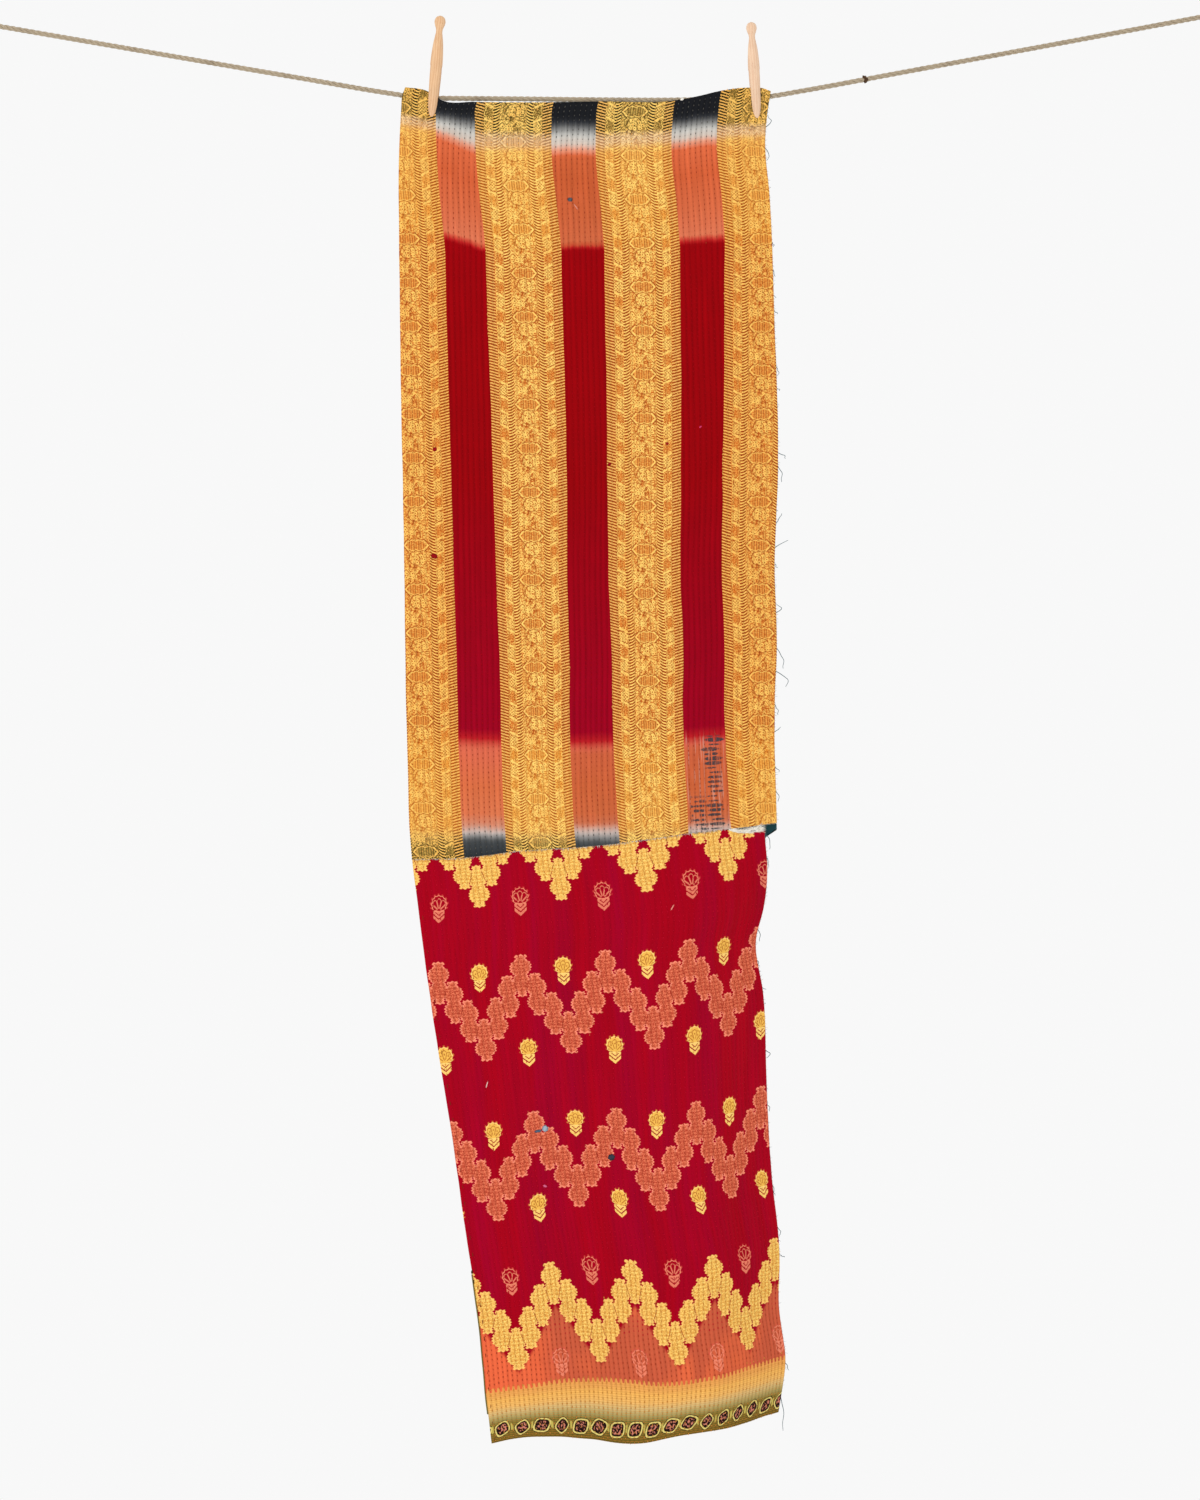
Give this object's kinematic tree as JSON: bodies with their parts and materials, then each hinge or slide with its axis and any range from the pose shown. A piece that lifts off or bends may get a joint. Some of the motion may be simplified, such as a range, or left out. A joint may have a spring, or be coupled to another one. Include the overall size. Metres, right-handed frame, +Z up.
{
  "type": "kantha cloth pegged on a rope line",
  "caption": "Long two-layer kantha runner of striped and crimson sari cloth in running stitch, hung by its top edge from a twisted rope line with turned dolly pegs.",
  "frame": {"origin": "centre of the eye at the rope's left end", "axes": "+X to the right along the line, +Z up, the cloth's front faces -Y"},
  "size_m": [1.3858, 0.0703, 1.5207],
  "materials": {
    "striped_sari": "quilted sari cloth, crimson and coral dip-dyed stripes between gold figured bands",
    "crimson_sari": "quilted crimson sari cloth with gold and coral sprigs and zigzags of medallions",
    "teal_backing": "plain dark teal cloth, olive towards the hem, with the stitches showing",
    "peg_wood": "pale turned wood, bare",
    "rope": "twisted natural fibre, grey-brown"
  },
  "bodies": {
    "root": {"striped_panel": "striped_sari", "zigzag_panel": "crimson_sari", "backing": "teal_backing", "peg_left": "peg_wood", "peg_right": "peg_wood", "rope_line": "rope", "end_loop_left": "rope", "end_loop_right": "rope"}
  },
  "joints": []
}
